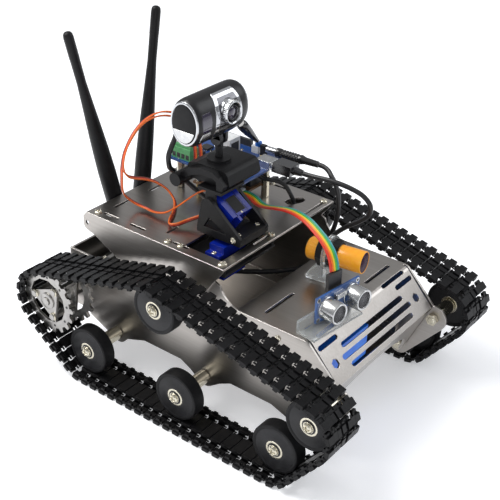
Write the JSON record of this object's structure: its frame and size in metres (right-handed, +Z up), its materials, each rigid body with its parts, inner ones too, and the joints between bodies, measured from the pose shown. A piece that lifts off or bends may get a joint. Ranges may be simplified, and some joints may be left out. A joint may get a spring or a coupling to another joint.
{
  "type": "tracked robot chassis",
  "caption": "Tracked robot chassis: folded steel shell and slotted deck on link tracks, with a camera on a pan-tilt mast, control boards, antennas and distance sensors.",
  "frame": {"origin": "on the ground under the middle of the bounding box", "axes": "+Z up, -Y towards the front with the sensors, +X to the robot's left side, along the axles"},
  "size_m": [0.202, 0.2689, 0.2386],
  "materials": {
    "stainless": "satin rolled stainless sheet, warm grey",
    "nickel": "pale warm nickel plate",
    "steel": "bright pressed steel",
    "track_plastic": "near-black moulded links, faint sheen",
    "wheel_plastic": "dark grey moulded face, black tread",
    "black_plastic": "fine-grained matt black",
    "gloss_black": "smooth moulded plug plastic",
    "blue_servo": "translucent deep blue case",
    "blue_wrap": "shrink-wrapped cells",
    "board_blue": "solder-masked circuit board",
    "board_brown": "circuit board with coils",
    "clear_acrylic": "clear laser-cut acrylic",
    "orange_plastic": "smooth orange barrel",
    "orange_lead": "flat servo ribbon",
    "ribbon_lead": "rainbow ribbon wires",
    "black_lead": "soft black sheath",
    "bright_chrome": "bright plated plastic"
  },
  "bodies": {
    "chassis": {"body_shell": "stainless", "floor_pan": "stainless", "deck_plate": "stainless", "battery_pack": "blue_wrap", "wifi_router": "black_plastic", "pan_cradle": "black_plastic", "pan_servo": "blue_servo", "ultrasonic_board": "board_blue", "ultrasonic_bracket": "clear_acrylic", "infrared_barrel": "orange_plastic", "infrared_bracket": "clear_acrylic", "controller_board": "board_blue", "power_board": "board_brown", "dc_plug": "gloss_black", "usb_plug": "gloss_black", "boot": "gloss_black", "dc_lead": "black_lead", "usb_lead": "black_lead", "power_lead": "black_lead", "servo_lead_a": "orange_lead", "servo_lead_b": "orange_lead", "sensor_ribbon": "ribbon_lead", "motor_right": "steel", "track_right": "track_plastic", "axle_right_rear_low": "nickel", "axle_right_middle_low": "nickel", "axle_right_front_low": "nickel", "axle_right_front_high": "nickel", "axle_right_top": "nickel", "motor_left": "steel", "track_left": "track_plastic", "axle_left_rear_low": "nickel", "axle_left_middle_low": "nickel", "axle_left_front_low": "nickel", "axle_left_front_high": "nickel", "axle_left_top": "nickel"},
    "sprocket_right": {"sprocket_right": "steel"},
    "wheel_right_rear_low": {"wheel_right_rear_low": "wheel_plastic"},
    "wheel_right_middle_low": {"wheel_right_middle_low": "wheel_plastic"},
    "wheel_right_front_low": {"wheel_right_front_low": "wheel_plastic"},
    "wheel_right_front_high": {"wheel_right_front_high": "wheel_plastic"},
    "wheel_right_top": {"wheel_right_top": "wheel_plastic"},
    "sprocket_left": {"sprocket_left": "steel"},
    "wheel_left_rear_low": {"wheel_left_rear_low": "wheel_plastic"},
    "wheel_left_middle_low": {"wheel_left_middle_low": "wheel_plastic"},
    "wheel_left_front_low": {"wheel_left_front_low": "wheel_plastic"},
    "wheel_left_front_high": {"wheel_left_front_high": "wheel_plastic"},
    "wheel_left_top": {"wheel_left_top": "wheel_plastic"},
    "pan": {"pan_yoke": "black_plastic", "tilt_servo": "blue_servo", "camera_lead": "black_lead"},
    "tilt": {"tilt_bracket": "black_plastic", "camera_clip": "black_plastic"},
    "camera_swivel": {"camera_stem": "black_plastic"},
    "camera": {"camera_body": "black_plastic"},
    "lens": {"focus_ring": "bright_chrome"},
    "antenna_right_base": {"antenna_right_base": "black_plastic"},
    "antenna_right_blade": {"antenna_right_blade": "black_plastic"},
    "antenna_left_base": {"antenna_left_base": "black_plastic"},
    "antenna_left_blade": {"antenna_left_blade": "black_plastic"}
  },
  "joints": [
    {"name": "sprocket_right_spin", "type": "hinge", "parent": "chassis", "child": "sprocket_right", "pos_m": [-0.0845, 0.1085, 0.0521], "axis": [1, 0, 0], "continuous": true},
    {"name": "wheel_right_rear_low_spin", "type": "hinge", "parent": "chassis", "child": "wheel_right_rear_low", "pos_m": [-0.086, 0.0755, 0.0216], "axis": [1, 0, 0], "continuous": true},
    {"name": "wheel_right_middle_low_spin", "type": "hinge", "parent": "chassis", "child": "wheel_right_middle_low", "pos_m": [-0.086, -0.0065, 0.0216], "axis": [1, 0, 0], "continuous": true},
    {"name": "wheel_right_front_low_spin", "type": "hinge", "parent": "chassis", "child": "wheel_right_front_low", "pos_m": [-0.086, -0.0885, 0.0216], "axis": [1, 0, 0], "continuous": true},
    {"name": "wheel_right_front_high_spin", "type": "hinge", "parent": "chassis", "child": "wheel_right_front_high", "pos_m": [-0.086, -0.1129, 0.0526], "axis": [1, 0, 0], "continuous": true},
    {"name": "wheel_right_top_spin", "type": "hinge", "parent": "chassis", "child": "wheel_right_top", "pos_m": [-0.086, 0.0106, 0.083], "axis": [1, 0, 0], "continuous": true},
    {"name": "sprocket_left_spin", "type": "hinge", "parent": "chassis", "child": "sprocket_left", "pos_m": [0.0845, 0.1085, 0.0521], "axis": [1, 0, 0], "continuous": true},
    {"name": "wheel_left_rear_low_spin", "type": "hinge", "parent": "chassis", "child": "wheel_left_rear_low", "pos_m": [0.086, 0.0755, 0.0216], "axis": [1, 0, 0], "continuous": true},
    {"name": "wheel_left_middle_low_spin", "type": "hinge", "parent": "chassis", "child": "wheel_left_middle_low", "pos_m": [0.086, -0.0065, 0.0216], "axis": [1, 0, 0], "continuous": true},
    {"name": "wheel_left_front_low_spin", "type": "hinge", "parent": "chassis", "child": "wheel_left_front_low", "pos_m": [0.086, -0.0885, 0.0216], "axis": [1, 0, 0], "continuous": true},
    {"name": "wheel_left_front_high_spin", "type": "hinge", "parent": "chassis", "child": "wheel_left_front_high", "pos_m": [0.086, -0.1129, 0.0526], "axis": [1, 0, 0], "continuous": true},
    {"name": "wheel_left_top_spin", "type": "hinge", "parent": "chassis", "child": "wheel_left_top", "pos_m": [0.086, 0.0106, 0.083], "axis": [1, 0, 0], "continuous": true},
    {"name": "pan_turn", "type": "hinge", "parent": "chassis", "child": "pan", "pos_m": [-0.023, 0, 0.1155], "axis": [0, 0, 1], "range_deg": [-80, 80], "deforming": ["servo_lead_a", "servo_lead_b", "camera_lead"]},
    {"name": "tilt_turn", "type": "hinge", "parent": "pan", "child": "tilt", "pos_m": [-0.023, 0.01, 0.137], "axis": [-1, 0, 0], "range_deg": [-30, 10], "deforming": ["camera_lead"]},
    {"name": "camera_swivel_turn", "type": "hinge", "parent": "tilt", "child": "camera_swivel", "pos_m": [-0.016, 0.0185, 0.1665], "axis": [0, 0, 1], "range_deg": [-60, 60], "deforming": ["camera_lead"]},
    {"name": "camera_nod", "type": "hinge", "parent": "camera_swivel", "child": "camera", "pos_m": [-0.016, 0.0185, 0.176], "axis": [1, 0, 0], "range_deg": [-20, 20], "deforming": ["camera_lead"]},
    {"name": "lens_focus", "type": "hinge", "parent": "camera", "child": "lens", "pos_m": [-0.021, 0.0035, 0.1992], "axis": [0, 1, 0], "range_deg": [-90, 90]},
    {"name": "antenna_right_swivel", "type": "hinge", "parent": "chassis", "child": "antenna_right_base", "pos_m": [-0.0189, 0.1, 0.076], "axis": [0, 1, 0], "range_deg": [-20, 8]},
    {"name": "antenna_right_fold", "type": "hinge", "parent": "antenna_right_base", "child": "antenna_right_blade", "pos_m": [-0.0189, 0.1065, 0.076], "axis": [-0.9677, 0, -0.2521], "range_deg": [0, 50]},
    {"name": "antenna_left_swivel", "type": "hinge", "parent": "chassis", "child": "antenna_left_base", "pos_m": [-0.0032, 0.1, 0.076], "axis": [0, 1, 0], "range_deg": [-8, 25]},
    {"name": "antenna_left_fold", "type": "hinge", "parent": "antenna_left_base", "child": "antenna_left_blade", "pos_m": [-0.0032, 0.1065, 0.076], "axis": [-0.9877, 0, 0.1564], "range_deg": [0, 50]}
  ],
  "couplings": [
    {"joint": "wheel_right_rear_low_spin", "follows": "sprocket_right_spin", "ratio": 1.23},
    {"joint": "wheel_right_middle_low_spin", "follows": "sprocket_right_spin", "ratio": 1.23},
    {"joint": "wheel_right_front_low_spin", "follows": "sprocket_right_spin", "ratio": 1.23},
    {"joint": "wheel_right_front_high_spin", "follows": "sprocket_right_spin", "ratio": 1.23},
    {"joint": "wheel_right_top_spin", "follows": "sprocket_right_spin", "ratio": 1.23},
    {"joint": "wheel_left_rear_low_spin", "follows": "sprocket_left_spin", "ratio": 1.23},
    {"joint": "wheel_left_middle_low_spin", "follows": "sprocket_left_spin", "ratio": 1.23},
    {"joint": "wheel_left_front_low_spin", "follows": "sprocket_left_spin", "ratio": 1.23},
    {"joint": "wheel_left_front_high_spin", "follows": "sprocket_left_spin", "ratio": 1.23},
    {"joint": "wheel_left_top_spin", "follows": "sprocket_left_spin", "ratio": 1.23}
  ]
}
